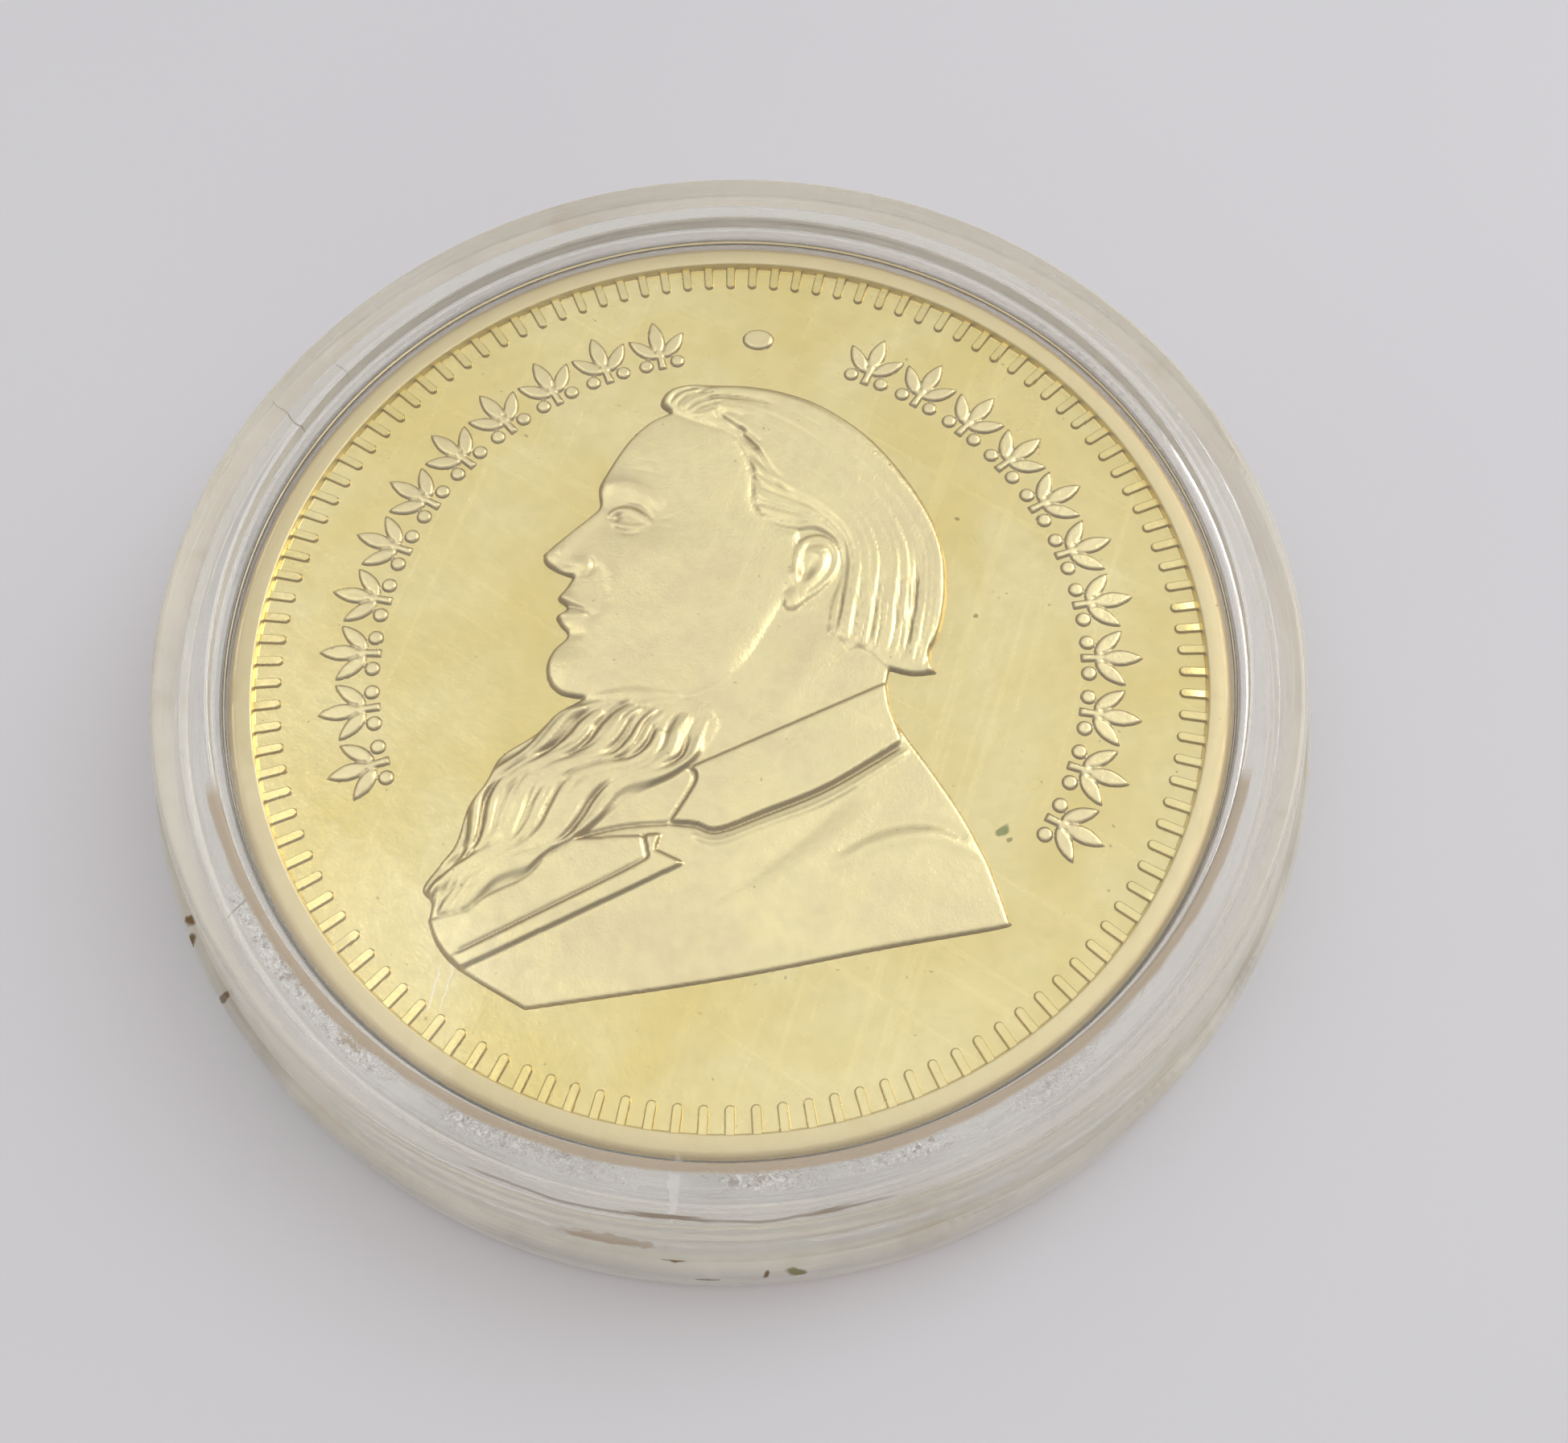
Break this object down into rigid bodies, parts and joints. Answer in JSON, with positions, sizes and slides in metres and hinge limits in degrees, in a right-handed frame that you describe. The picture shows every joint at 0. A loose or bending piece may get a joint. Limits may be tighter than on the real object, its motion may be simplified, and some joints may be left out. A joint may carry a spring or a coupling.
{
  "type": "coin capsule",
  "caption": "Round clear snap-together coin capsule: a base with a plug wall and a foot ring, a lid with a raised ring and a recessed window, and a struck gold coin held between them.",
  "frame": {"origin": "centre of the foot ring's resting face, on the capsule's axis", "axes": "+Z along the capsule's axis, from the base to the lid; the coin's portrait stands upright along +Y"},
  "size_m": [0.0388, 0.0388, 0.0061],
  "materials": {
    "base_plastic": "clear, slightly yellowed, glossy moulded polystyrene",
    "coin_gold": "struck gold: glossy fields, satin relief, light toning",
    "lid_plastic": "clear, slightly yellowed, glossy moulded polystyrene"
  },
  "bodies": {
    "base": {"base": "base_plastic"},
    "coin": {"coin": "coin_gold"},
    "lid": {"lid": "lid_plastic"}
  },
  "joints": [
    {"name": "lid_lift", "type": "slide", "parent": "base", "child": "lid", "axis": [0, 0, 1], "range_m": [0, 0.014]},
    {"name": "coin_lift", "type": "slide", "parent": "base", "child": "coin", "axis": [0, 0, 1], "range_m": [0, 0.007]}
  ],
  "couplings": [
    {"joint": "coin_lift", "follows": "lid_lift", "ratio": 0.5}
  ]
}
